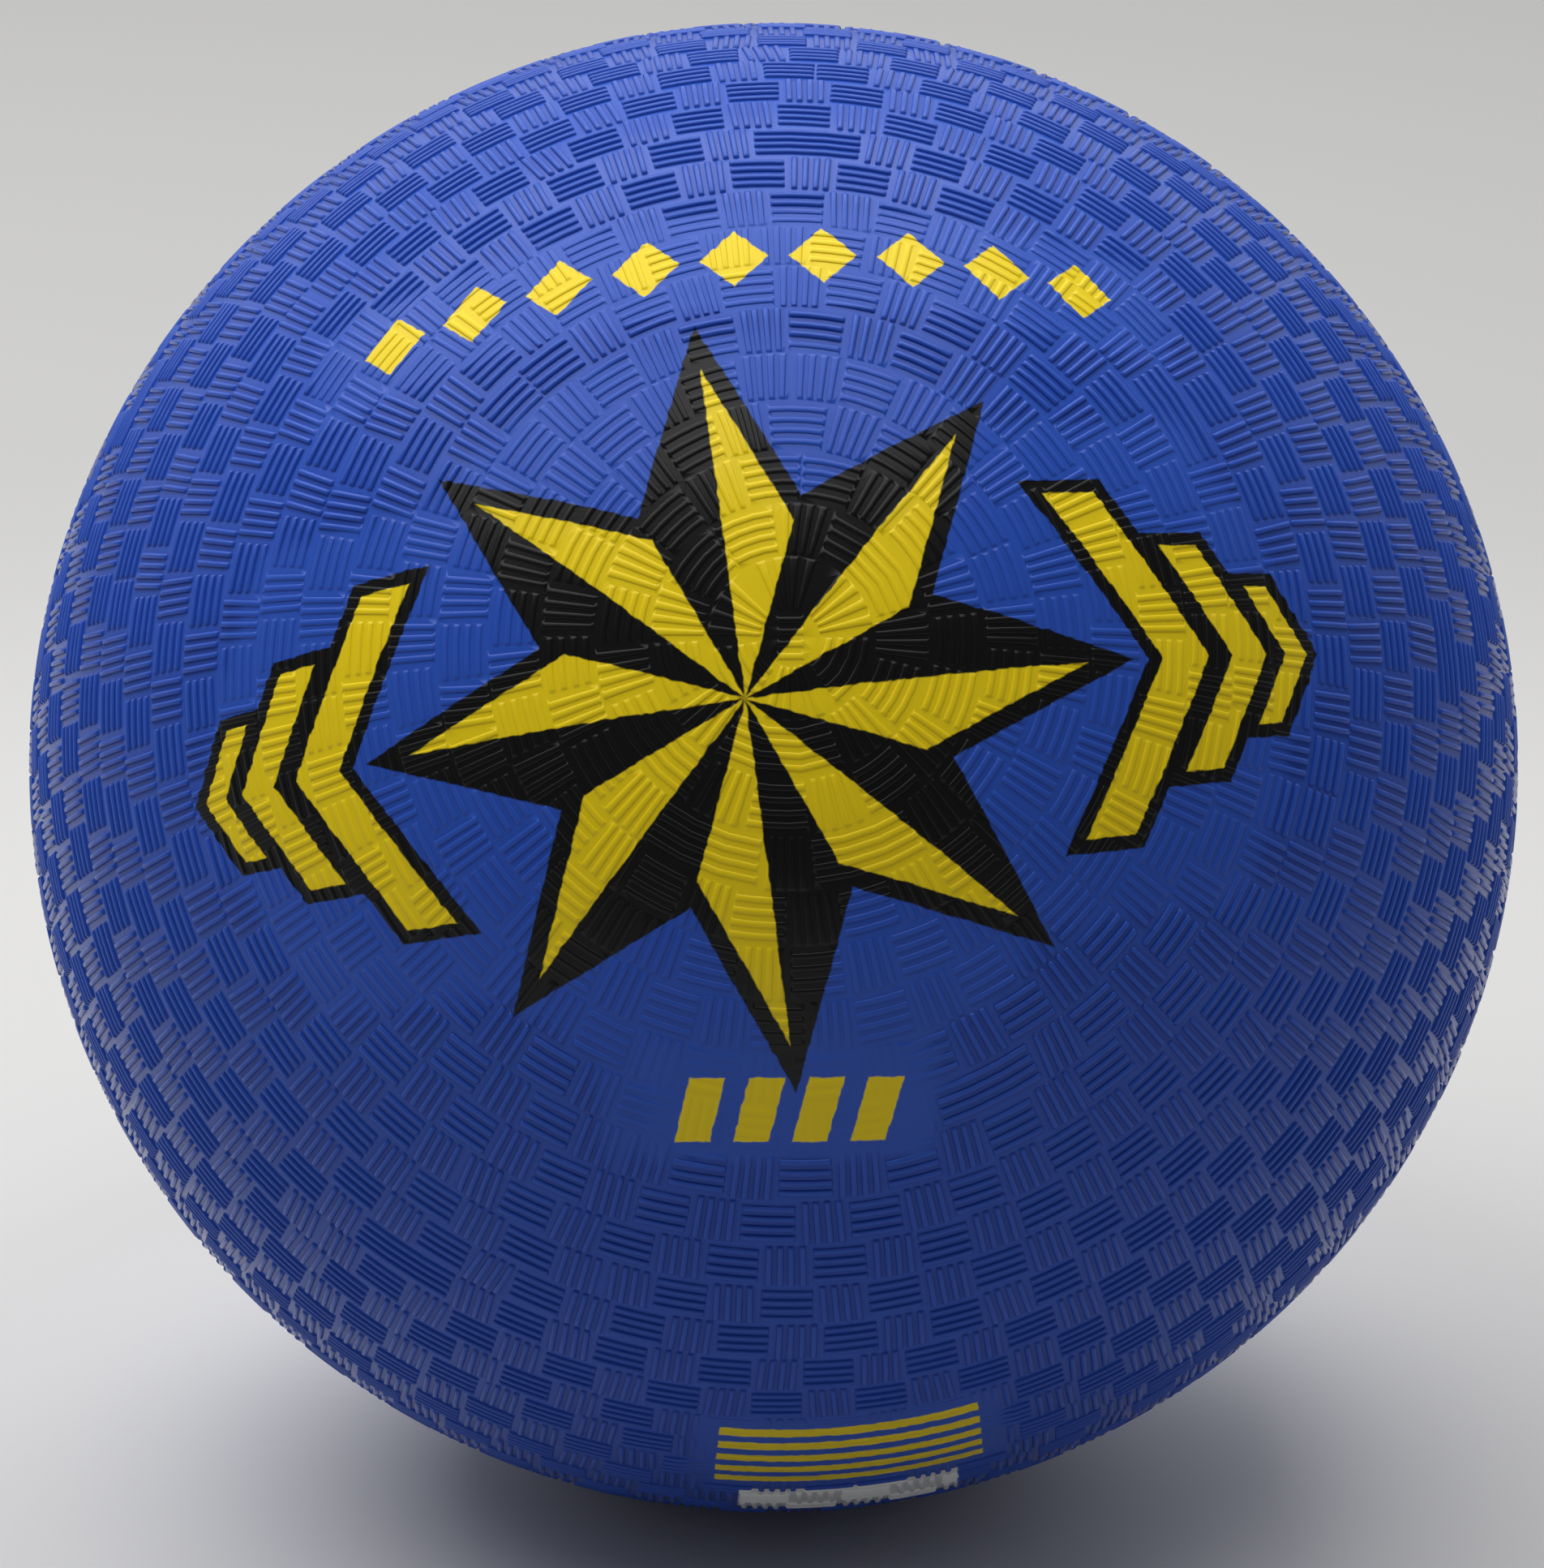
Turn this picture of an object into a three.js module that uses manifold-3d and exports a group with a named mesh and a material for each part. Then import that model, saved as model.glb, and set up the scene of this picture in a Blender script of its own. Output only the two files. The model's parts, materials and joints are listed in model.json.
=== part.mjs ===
// Playground ball: a moulded rubber cover over a yarn-wound air bladder, with a needle valve near its foot.
// Millimetres, +Z up. The origin is the middle of the flat on which the ball rests. The front of the ball,
// where the moulded rings have their middle, faces -Y and leans back by MOULD_TILT.
import * as THREE from "three";
import { mergeVertices } from "three/addons/utils/BufferGeometryUtils.js";
import Module from "manifold-3d";

const wasm = await Module();
wasm.setup();

// The ball and its walls
const BALL_DIAMETER = 215.9; // over the crests of the moulded ribs
const COVER_WALL = 1.6;
const WINDING_WALL = 0.6;
const BLADDER_WALL = 0.6;
const REST_RADIUS = 11.2; // the flat that the ball's weight presses into it at its air pressure
const FIT_GAP = 0.3; // between neighbouring pieces
const SEAM_GAP = 0.3; // between the cover's halves at the mould's parting line

// The mould: the rings of ribs run round this axis, and the cover's halves part at right angles to it
const MOULD_TILT = 27; // degrees that the front of the axis leans up from level

// The valve, from its head in the cover to the foot of its socket
const VALVE_FROM_POLE = 100; // degrees down from the front of the mould axis
const HEAD_DIAMETER = 7.4;
const HEAD_LENGTH = 3.2;
const HEAD_RECESS = 0.9; // from the crests of the ribs down to the face of the head
const STEM_DIAMETER = 5.4;
const NEEDLE_HOLE_DIAMETER = 1.6;
const NEEDLE_HOLE_DEPTH = 9;
const SOCKET_DIAMETER = 11;
const SOCKET_LENGTH = 18;
const FLANGE_DIAMETER = 28;
const FLANGE_WALL = 1.2;
const PATCH_DIAMETER = 30;

// Facets of the round surfaces
const BALL_SIDES = 40;
const BALL_STEPS = 10; // from the ball's foot to its widest ring, and from there to its top
const VALVE_SIDES = 24;

const ballRadius = BALL_DIAMETER / 2;
const centre = new THREE.Vector3(0, 0, Math.sqrt(ballRadius ** 2 - REST_RADIUS ** 2));

// Directions out of the middle of the ball, in the plane that halves it from front to back
const degreesFromFront = (degrees) => {
  const angle = THREE.MathUtils.degToRad(MOULD_TILT - degrees);
  return new THREE.Vector3(0, -Math.cos(angle), Math.sin(angle));
};
const mouldAxis = degreesFromFront(0);
const valveAxis = degreesFromFront(VALVE_FROM_POLE);

// Radii of the walls, each from its outside to its inside
const cover = { outer: ballRadius, inner: ballRadius - COVER_WALL };
const winding = { outer: cover.inner - FIT_GAP, inner: cover.inner - FIT_GAP - WINDING_WALL };
const bladder = { outer: winding.inner - FIT_GAP, inner: winding.inner - FIT_GAP - BLADDER_WALL };
const flange = { outer: bladder.inner - FIT_GAP, inner: bladder.inner - FIT_GAP - FLANGE_WALL };

// A closed geometry as a solid, with its shared corners merged and its empty triangles dropped
function solidOf(geometry) {
  const bare = geometry.clone();
  bare.deleteAttribute("normal");
  bare.deleteAttribute("uv");
  const welded = mergeVertices(bare, 1e-4);
  const corners = [];
  const index = welded.index.array;
  for (let i = 0; i < index.length; i += 3) {
    const [a, b, c] = [index[i], index[i + 1], index[i + 2]];
    if (a !== b && b !== c && c !== a) corners.push(a, b, c);
  }
  const vertProperties = new Float32Array(welded.attributes.position.array);
  return new wasm.Manifold(new wasm.Mesh({ numProp: 3, vertProperties, triVerts: new Uint32Array(corners) }));
}

// A solid ball of one wall's radius, flattened at the foot so that the walls stay parallel there too
function ballSolid(radius) {
  const floor = ballRadius - radius - centre.z;
  const foot = Math.acos(-floor / radius);
  const equator = Math.PI / 2;
  const angles = [];
  for (let step = 0; step < BALL_STEPS; step += 1) angles.push(foot + ((equator - foot) * step) / BALL_STEPS);
  for (let step = 0; step < BALL_STEPS; step += 1) angles.push(equator + (equator * step) / BALL_STEPS);
  const arc = angles.map((angle) => new THREE.Vector2(radius * Math.sin(angle), -radius * Math.cos(angle)));
  const profile = [new THREE.Vector2(0, floor), ...arc, new THREE.Vector2(0, radius)];
  const geometry = new THREE.LatheGeometry(profile, BALL_SIDES);
  geometry.rotateX(Math.PI / 2);
  geometry.translate(centre.x, centre.y, centre.z);
  return solidOf(geometry);
}

const wallSolid = (wall) => ballSolid(wall.outer).subtract(ballSolid(wall.inner));

// A rod on the valve's axis, between two distances from the middle of the ball
function valveRod(diameter, from, to) {
  const geometry = new THREE.CylinderGeometry(diameter / 2, diameter / 2, to - from, VALVE_SIDES);
  geometry.translate(0, (from + to) / 2, 0);
  geometry.applyQuaternion(new THREE.Quaternion().setFromUnitVectors(new THREE.Vector3(0, 1, 0), valveAxis));
  geometry.translate(centre.x, centre.y, centre.z);
  return solidOf(geometry);
}

const clear = (diameter) => diameter + 2 * FIT_GAP;
const valveCut = (diameter) => valveRod(diameter, ballRadius / 2, ballRadius * 1.5);

// Everything on one side of the mould's parting line: side is 1 for the front and -1 for the rear
function mouldSide(side) {
  const span = 2 * BALL_DIAMETER;
  const geometry = new THREE.BoxGeometry(span, span, span);
  geometry.translate(0, 0, (side * (span + SEAM_GAP)) / 2);
  geometry.applyQuaternion(new THREE.Quaternion().setFromUnitVectors(new THREE.Vector3(0, 0, 1), mouldAxis));
  geometry.translate(centre.x, centre.y, centre.z);
  return solidOf(geometry);
}

// The cover's two halves: the valve's head shows in a hole of the rear one
const coverWall = wallSolid(cover);
const frontCover = coverWall.intersect(mouldSide(1));
const rearCover = coverWall.intersect(mouldSide(-1)).subtract(valveCut(clear(HEAD_DIAMETER)));

// The winding leaves a hole round the valve, and the patch fills it as a washer of the same wall
const windingWall = wallSolid(winding);
const yarnWinding = windingWall.subtract(valveCut(clear(PATCH_DIAMETER)));
const valvePatch = windingWall
  .intersect(valveCut(PATCH_DIAMETER))
  .subtract(valveCut(clear(SOCKET_DIAMETER)));

// The bladder is pierced where the valve's socket goes through it
const airBladder = wallSolid(bladder).subtract(valveCut(clear(SOCKET_DIAMETER)));

// The valve's core: its head, its stem down to the foot of the socket, and the blind needle hole
const socketTop = cover.inner - FIT_GAP;
const socketFoot = socketTop - SOCKET_LENGTH;
const headFace = ballRadius - HEAD_RECESS;
const headFoot = headFace - HEAD_LENGTH;
const valveCore = valveRod(HEAD_DIAMETER, headFoot, headFace)
  .add(valveRod(STEM_DIAMETER, socketFoot, (headFoot + headFace) / 2))
  .subtract(valveRod(NEEDLE_HOLE_DIAMETER, headFace - NEEDLE_HOLE_DEPTH, headFace + FIT_GAP));

// The valve's housing: a socket with a flange that follows the bladder's inside, bored for the core
const valveHousing = valveRod(SOCKET_DIAMETER, socketFoot, ballRadius)
  .intersect(ballSolid(socketTop))
  .add(wallSolid(flange).intersect(valveCut(FLANGE_DIAMETER)))
  .subtract(valveRod(clear(HEAD_DIAMETER), headFoot - FIT_GAP, ballRadius))
  .subtract(valveRod(clear(STEM_DIAMETER), socketFoot - FIT_GAP, ballRadius));

const ball = new THREE.Group();

function addPiece(name, solid, color, roughness) {
  const { vertProperties, triVerts } = solid.getMesh();
  const geometry = new THREE.BufferGeometry();
  geometry.setAttribute("position", new THREE.BufferAttribute(new Float32Array(vertProperties), 3));
  geometry.setIndex(new THREE.BufferAttribute(new Uint32Array(triVerts), 1));
  geometry.computeVertexNormals();
  const mesh = new THREE.Mesh(geometry, new THREE.MeshStandardMaterial({ color, roughness, metalness: 0 }));
  mesh.name = name;
  ball.add(mesh);
}

addPiece("front_cover", frontCover, 0x2440b0, 0.42);
addPiece("rear_cover", rearCover, 0x2440b0, 0.42);
addPiece("yarn_winding", yarnWinding, 0xe6e0cf, 0.85);
addPiece("bladder", airBladder, 0x1b1b1d, 0.55);
addPiece("valve_patch", valvePatch, 0x3a3a3d, 0.7);
addPiece("valve_housing", valveHousing, 0x242426, 0.6);
addPiece("valve_core", valveCore, 0x161618, 0.5);

export default ball;
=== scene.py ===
# %% [markdown]
# # Dressing a moulded playground ball
# The ball is an air bladder wound with yarn, inside a blue rubber cover that is cured in a two-part
# mould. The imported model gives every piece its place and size. This lesson gives the cover its
# basket-weave ribs and its ink, the valve its soft head, and the hidden pieces their finishes, all in
# metres and in the model's frame.

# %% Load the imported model
import json
import math

import bmesh
import bpy
import numpy as np
from mathutils import Matrix, Vector


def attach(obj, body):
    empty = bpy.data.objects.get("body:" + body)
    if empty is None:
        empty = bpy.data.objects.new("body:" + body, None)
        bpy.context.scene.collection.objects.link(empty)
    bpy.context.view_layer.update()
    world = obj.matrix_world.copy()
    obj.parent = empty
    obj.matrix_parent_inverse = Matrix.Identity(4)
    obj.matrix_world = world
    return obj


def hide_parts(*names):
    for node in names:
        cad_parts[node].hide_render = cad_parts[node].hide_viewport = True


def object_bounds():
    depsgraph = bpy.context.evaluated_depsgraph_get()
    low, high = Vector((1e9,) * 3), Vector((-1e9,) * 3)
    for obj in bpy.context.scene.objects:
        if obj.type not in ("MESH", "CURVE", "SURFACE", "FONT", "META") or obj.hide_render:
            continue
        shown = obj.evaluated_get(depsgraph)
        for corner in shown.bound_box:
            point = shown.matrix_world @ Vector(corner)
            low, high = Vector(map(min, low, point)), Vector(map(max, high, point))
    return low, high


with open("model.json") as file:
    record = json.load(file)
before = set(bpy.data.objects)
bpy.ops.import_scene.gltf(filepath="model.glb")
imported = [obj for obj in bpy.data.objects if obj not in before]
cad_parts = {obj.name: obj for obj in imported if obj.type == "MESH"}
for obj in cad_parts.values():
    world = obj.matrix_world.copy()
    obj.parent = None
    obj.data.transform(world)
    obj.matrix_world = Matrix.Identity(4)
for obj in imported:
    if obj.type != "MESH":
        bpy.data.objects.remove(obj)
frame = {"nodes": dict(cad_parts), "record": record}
cad_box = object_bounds()
print("nodes:", ", ".join(sorted(frame["nodes"])))

# %% [markdown]
# ## The ball's own directions
# All the relief runs in rings round the axis of the mould, which leans back from level. So points on the
# cover are named by their angle from the front of that axis (the pole) and their turn round it, like
# latitude and longitude. Working in these two angles keeps the ribs evenly wide everywhere, which flat
# tiles would not.

# %% Measure the ball and set up its directions
MM = 0.001
FULL_TURN = 2 * math.pi
lowest, highest = cad_box
CREST = (highest[1] - lowest[1]) / 2  # radius over the crests of the ribs
CENTRE = np.array([0.0, 0.0, highest[2] - CREST])
MOULD_TILT = math.radians(27)
POLE = np.array([0.0, -math.cos(MOULD_TILT), math.sin(MOULD_TILT)])
RIGHT = np.array([1.0, 0.0, 0.0])
UP = np.cross(POLE, RIGHT)
valve_mount = next(mount for mount in frame["record"]["mounts"] if mount["name"] == "valve_face")
VALVE_AXIS = np.array(valve_mount["axis"])
VALVE_FACE = float((np.array(valve_mount["pos_m"]) - CENTRE) @ VALVE_AXIS)  # from the middle of the ball
print(f"crest radius {CREST / MM:.2f} mm, valve face {VALVE_FACE / MM:.2f} mm from the middle")

# %% [markdown]
# ## The camera
# The photograph was taken from a little above, and from far enough away that the ball's outline is nearly
# a true half of it. The lens follows from two measured facts: the camera's distance in ball radii, and
# the radius of the outline in pixels. Aiming just below the middle of the ball puts the outline where it
# was.

# %% Place the camera
IMAGE_WIDTH, IMAGE_HEIGHT = 1904, 1933
OUTLINE_RADIUS = 918.55
OUTLINE_MIDDLE = (953.9, 946.25)
CAMERA_RADII = 10.0
CAMERA_TURN, CAMERA_RISE = math.radians(-1.32), math.radians(17.9)
SENSOR = 36.0

focal_pixels = OUTLINE_RADIUS * math.sqrt(CAMERA_RADII**2 - 1)
towards = Vector(
    (
        math.sin(CAMERA_TURN) * math.cos(CAMERA_RISE),
        -math.cos(CAMERA_TURN) * math.cos(CAMERA_RISE),
        math.sin(CAMERA_RISE),
    )
)
camera_data = bpy.data.cameras.new("camera")
camera_data.sensor_fit = "HORIZONTAL"
camera_data.sensor_width = SENSOR
camera_data.lens = focal_pixels / IMAGE_WIDTH * SENSOR
camera = bpy.data.objects.new("camera", camera_data)
bpy.context.scene.collection.objects.link(camera)
camera.location = Vector(CENTRE) + towards * CREST * CAMERA_RADII
level = towards.to_track_quat("Z", "Y")
metres_per_pixel = CREST * CAMERA_RADII / focal_pixels
off_middle = Vector((OUTLINE_MIDDLE[0] - IMAGE_WIDTH / 2, IMAGE_HEIGHT / 2 - OUTLINE_MIDDLE[1], 0))
aim = Vector(CENTRE) - level @ (off_middle * metres_per_pixel)
camera.rotation_euler = (camera.location - aim).to_track_quat("Z", "Y").to_euler()
bpy.context.scene.camera = camera
bpy.context.scene.view_settings.view_transform = "Standard"
print(f"lens {camera_data.lens:.1f} mm at {CREST * CAMERA_RADII:.2f} m")

# %% [markdown]
# ## A short way to write shaders
# A shader is a sum on sockets. Wrapping a socket in a small class lets Python's own operators add the
# Math nodes, so a print can be written as the distances it is drawn from. One method makes every other
# node. Adding and linking each node by hand would take several lines for every small sum.


# %% The socket class
class Wire:
    """An output socket of a shader node, or just its tree, with operators that add Math nodes after it."""

    def __init__(self, tree, socket=None):
        self.tree = tree
        self.socket = socket

    def add(self, kind, settings=None, sockets=None, output=0):
        """A new node: its type, its settings, and then a value or a Wire for each of its sockets."""
        node = self.tree.nodes.new("ShaderNode" + kind)
        for name, setting in (settings or {}).items():
            setattr(node, name, setting)
        for key, value in (sockets or {}).items():
            if isinstance(value, Wire):
                self.tree.links.new(value.socket, node.inputs[key])
            else:
                node.inputs[key].default_value = value
        return Wire(self.tree, node.outputs[output] if len(node.outputs) else None)

    def out(self, output):
        """Another output of the same node."""
        return Wire(self.tree, self.socket.node.outputs[output])

    def math(self, operation, *others):
        return self.add("Math", {"operation": operation}, dict(enumerate((self, *others))))

    def clamp(self):
        """This value held between 0 and 1."""
        return self.add("Clamp", None, {"Value": self})

    def mix(self, first, second):
        """Colour first where this is 0 and colour second where it is 1."""
        return self.add("Mix", {"data_type": "RGBA"}, {0: self, 6: first, 7: second}, output=2)

    def inside(self, edge):
        """1 where this distance is below zero and 0 above it, with an edge of that width."""
        return (0.5 - self * (1 / edge)).clamp()

    def __add__(self, other):
        return self.math("ADD", other)

    def __sub__(self, other):
        return self.math("SUBTRACT", other)

    def __rsub__(self, other):
        return self.add("Math", {"operation": "SUBTRACT"}, {0: other, 1: self})

    def __mul__(self, other):
        return self.math("MULTIPLY", other)

    def __abs__(self):
        return self.math("ABSOLUTE")

    def __and__(self, other):
        """Both of two distances below zero."""
        return self.math("MAXIMUM", other)

    def __or__(self, other):
        """Either of two distances below zero."""
        return self.math("MINIMUM", other)

    __radd__ = __add__
    __rmul__ = __mul__


def new_finish(name):
    """A material with a bare Principled shader: the Wire of its tree, and the shader's inputs."""
    material = bpy.data.materials.new(name)
    material.use_nodes = True
    return material, Wire(material.node_tree), material.node_tree.nodes["Principled BSDF"].inputs


def feed(wire, socket):
    wire.tree.links.new(wire.socket, socket)


print("shader operators ready")

# %% [markdown]
# ## The floor
# The floor is plain pale paper that runs far back, as a studio's paper sweep does, and its colour makes
# the background. A pool of light is painted into it round the ball, so it is paler there than far off.
# The colour that is seen is also paler than the colour that throws light back on the ball, and the
# painted pool is in both. Light Path tells the two kinds of rays apart, so the background can be pale
# while the underside of the ball stays dark. More light would bleach the blue instead.

# %% Lay the floor
FLOOR_HALF = 6.0
FLOOR_DROP = 0.0002  # keeps the floor's face clear of the ball's own flat
PAPER_FAR, PAPER_IN_PAINTED_POOL = (0.485, 0.48, 0.47, 1), (0.82, 0.81, 0.785, 1)
BOUNCE_FAR, BOUNCE_IN_PAINTED_POOL = (0.34, 0.34, 0.34, 1), (0.50, 0.50, 0.50, 1)
# The painted pool of light on the paper: a share, the distance up to which it is full, and the distance at
# which it ends
PAINTED_POOL_INNER, PAINTED_POOL_OUTER = (0.7, 0.07, 0.15), (0.3, 0.28, 0.58)
PAPER_ROUGHNESS = 0.8


def fading(away, share, full, gone):
    """That share up to the distance full, which fades smoothly until the distance gone."""
    sockets = {"Value": away, "From Min": full, "From Max": gone, "To Min": share, "To Max": 0.0}
    return away.add("MapRange", {"interpolation_type": "SMOOTHSTEP"}, sockets)


bpy.ops.mesh.primitive_plane_add(size=2 * FLOOR_HALF, location=(0, 0, -FLOOR_DROP))
floor = bpy.context.object
floor.name = "floor"
paper, wire, shader = new_finish("floor_paper")
spot = wire.add("TexCoord", output="Object")
away = wire.add("VectorMath", {"operation": "LENGTH"}, {0: spot}, output="Value")
# A pool of light painted into the paper round the ball, both where it is seen and where it throws light
# back
painted_light_pool = fading(away, *PAINTED_POOL_INNER) + fading(away, *PAINTED_POOL_OUTER)
ray = wire.add("LightPath", output="Is Camera Ray")
seen = ray.math("MAXIMUM", ray.out("Is Glossy Ray")).math("MAXIMUM", ray.out("Is Transmission Ray"))
feed(seen.mix(painted_light_pool.mix(BOUNCE_FAR, BOUNCE_IN_PAINTED_POOL), painted_light_pool.mix(PAPER_FAR, PAPER_IN_PAINTED_POOL)), shader["Base Color"])
shader["Roughness"].default_value = PAPER_ROUGHNESS
floor.data.materials.append(paper)
print(f"floor {2 * FLOOR_HALF:.0f} m wide")

# %% [markdown]
# ## The lamp and the room
# One large soft lamp hangs over the ball, a little to the left. The world is the room: an even dim grey,
# with a brighter wall behind the ball that gives the rubber its whitish upper edge. The side of the
# camera stays dim, so the ribs' near sides are dark. Several small lamps could do the same, but would
# leave a spot on every rib.

# %% Hang the lamp and light the room
LAMP_AT, LAMP_SIZE, LAMP_POWER = (-0.46, 0.20, 1.5), (2.2, 2.0), 35.2
ROOM_COLOUR = (0.97, 0.98, 1.0, 1)
ROOM_ALL, ROOM_BACK = 0.15, 0.74
BACK_START, BACK_RISE = 0.1, 1.4  # how the wall brightens towards the back
FOOT_START, FOOT_RISE = 0.1, 3.0  # and up from the floor
lamp_data = bpy.data.lights.new("soft_lamp", "AREA")
lamp_data.shape = "RECTANGLE"
lamp_data.size, lamp_data.size_y = LAMP_SIZE
lamp_data.energy = LAMP_POWER
lamp = bpy.data.objects.new("soft_lamp", lamp_data)
bpy.context.scene.collection.objects.link(lamp)
lamp.location = LAMP_AT

world = bpy.data.worlds.new("room")
bpy.context.scene.world = world
world.use_nodes = True
wire = Wire(world.node_tree)
way = wire.add("SeparateXYZ", None, {0: wire.add("TexCoord", output="Generated")})
back = ((way.out(1) + BACK_START) * BACK_RISE).clamp()
wall = (way.out(2) * FOOT_RISE + FOOT_START).clamp()
background = world.node_tree.nodes["Background"].inputs
background["Color"].default_value = ROOM_COLOUR
feed(back * wall * ROOM_BACK + ROOM_ALL, background["Strength"])
print(f"lamp of {LAMP_POWER} W, room at {ROOM_ALL} with {ROOM_BACK} more behind")

# %% [markdown]
# ## The weave's plan
# The mould is cut in rings of equal height. Each ring is a row of square patches of four ribs, turn and
# turn about along the ring and across it. A ring's length is seldom a whole number of pairs, so every
# ring has a few slips where two patches of the same direction meet. From many tries, each ring keeps the
# one that best crosses the ring before it, as a weave should. The widths, heights and leans of the ribs
# vary a little, always from the same seed, because an even pattern would look printed.

# %% Plan one ring of patches
WEAVE = math.radians(3.97)  # height of a ring, seen from the middle of the ball
PATCH_TURN = math.radians(3.85)  # mean width of a patch
RINGS = 22  # from the pole to the parting line
FIRST_ALONG = 0.8  # share of the rings that start with a patch along the ring
RUN_SPREAD = (0.3, 1.7)  # least and greatest length of a run, in even shares of what is left of its ring
WIDTH_SPREAD = (0.97, 1.03)


def ring_angle(border):
    """Angle from the pole of the border under ring number border."""
    return (border + 0.5) * WEAVE


def odd_runs(draw, total):
    """Lengths of the runs between slips: each is odd, so that a run starts and ends alike."""
    count = int(draw.choice([2, 4]) if total % 2 == 0 else draw.choice([1, 3]))
    runs = []
    for left in range(count, 1, -1):
        share = (total - sum(runs)) / left
        runs.append(max(int(2 * round((share * draw.uniform(*RUN_SPREAD) - 1) / 2) + 1), 1))
    return runs + [total - sum(runs)]


def plan_ring(draw, ring):
    """The turns of a ring's patch edges, and whether each patch's ribs lie along the ring."""
    middle = ring_angle(ring) + WEAVE / 2
    total = round(FULL_TURN * math.sin(middle) / PATCH_TURN)
    first = draw.random() < FIRST_ALONG
    along = []
    for run in odd_runs(draw, total):
        along += [first if step % 2 == 0 else not first for step in range(run)]
    along = np.array(along)
    widths = np.where(along, WEAVE / math.sin(middle), 0) * draw.uniform(*WIDTH_SPREAD, total)
    rest = (FULL_TURN - widths.sum()) / max(total - along.sum(), 1)
    widths += np.where(along, 0, rest) * draw.uniform(*WIDTH_SPREAD, total)
    widths *= FULL_TURN / widths.sum()
    return draw.uniform(0, FULL_TURN) + np.concatenate([[0], np.cumsum(widths)]), along


print("patches in the widest ring:", len(plan_ring(np.random.default_rng(1), RINGS - 1)[1]))

# %% Choose rings that cross each other
TRIES = 150
SPOTS = 400  # places on a ring where two plans are compared


def lies_at(plan, spots):
    """Whether the ribs lie along the ring at each of some turns."""
    turns, along = plan
    return along[np.searchsorted(turns, turns[0] + np.mod(spots - turns[0], FULL_TURN), side="right") - 1]


def plan_weave(draw):
    """Plans of all the rings: each is the best of many for crossing the ribs of the ring before it."""
    spots = np.linspace(0, FULL_TURN, SPOTS, endpoint=False)
    plans = [plan_ring(draw, 0)]
    for ring in range(1, RINGS):
        before = lies_at(plans[-1], spots)
        tries = [plan_ring(draw, ring) for _ in range(TRIES)]
        plans.append(min(tries, key=lambda plan: np.mean(lies_at(plan, spots) == before)))
    return plans


print("each ring is the best of", TRIES)

# %% [markdown]
# ## Where the relief is low
# Ink will not print well over full ribs, so the mould is ground down where the print goes: the ribs are
# still there, but faint, and under the bars and the thin lines they are almost gone. The print is planned
# here in millimetres on the front of the cover laid flat round the pole, across and up, because both the
# relief and the ink use it.

# %% Plan the print and the relief under it
STAR_AT = (-6.0, -8.0)
STAR_LEAN = math.radians(7)
STAR_POINTS, STAR_TIP, STAR_NOTCH = 8, 47.0, 25.0
ROW_AT, ROW_BEND, ROW_CROWN = (-7.0, 58.0), 0.0021, 8.0
BARS_AT = (-0.5, -64.2)
LINES_TURN, LINES_ANGLE, LINES_HALF = -85.0, (66.8, 78.4), 10.4  # degrees
FAINT, BARE = 0.42, 0.06  # shares of the full rib height that are left
STAR_LAND = STAR_TIP + 5.0  # how far the low ribs reach from the middle of the star
WING_LAND, WING_TAPER = (86.0, 35.0), 0.5  # behind the chevrons: half sizes, and how the ends narrow
ROW_LAND = (64.0, 9.0)  # half sizes, as in the next two
APRON_AT, APRON_LAND = (-4.0, -55.8), (24.0, 15.8)  # below the star
BARS_LAND_AT, BARS_LAND = (BARS_AT[0], BARS_AT[1] + 1.0), (21.0, 8.2)
LINES_MARGIN = (2.0, 1.0)  # degrees of turn and of angle past the thin lines


def star_frame(across, up):
    """The print plane's coordinates turned and moved to the star's own."""
    x, y = across - STAR_AT[0], up - STAR_AT[1]
    turn_x = x * math.cos(STAR_LEAN) + y * math.sin(STAR_LEAN)
    turn_y = y * math.cos(STAR_LEAN) - x * math.sin(STAR_LEAN)
    return turn_x, turn_y


def row_height(across, up):
    """How far a point lies above the curved row of diamonds."""
    return up - ROW_AT[1] + ROW_BEND * (across - ROW_CROWN) * (across - ROW_CROWN)


def fade(distance, soft=1.1):
    """1 inside an outline, 0 outside it."""
    return np.clip(0.5 - distance / soft, 0, 1)


def box_distance(x, y, half_x, half_y):
    return np.maximum(np.abs(x) - half_x, np.abs(y) - half_y)


def relief(angle, turn):
    """How much of the full rib height stands at each point of the front half."""
    across = CREST / MM * angle * np.cos(turn)
    up = CREST / MM * angle * np.sin(turn)
    x, y = star_frame(across, up)
    wing = box_distance(x, y, WING_LAND[0] - WING_TAPER * np.abs(y), WING_LAND[1])
    row = box_distance(across - ROW_AT[0], row_height(across, up), *ROW_LAND)
    apron = box_distance(across - APRON_AT[0], up - APRON_AT[1], *APRON_LAND)
    faint = fade(np.minimum.reduce([np.hypot(x, y) - STAR_LAND, wing, row, apron]))
    bars = box_distance(across - BARS_LAND_AT[0], up - BARS_LAND_AT[1], *BARS_LAND)
    side = (np.degrees(turn) - LINES_TURN + 180) % 360 - 180
    middle = np.degrees(angle) - sum(LINES_ANGLE) / 2
    lines_half = (LINES_ANGLE[1] - LINES_ANGLE[0]) / 2
    lines = box_distance(side, middle, LINES_HALF + LINES_MARGIN[0], lines_half + LINES_MARGIN[1])
    bare = fade(np.minimum(bars, lines * CREST / MM * math.radians(1)))
    return (1 - (1 - FAINT) * faint) * (1 - bare) + BARE * bare


print("relief at the star:", relief(np.array([0.1]), np.array([0.0])).round(2))

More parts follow.
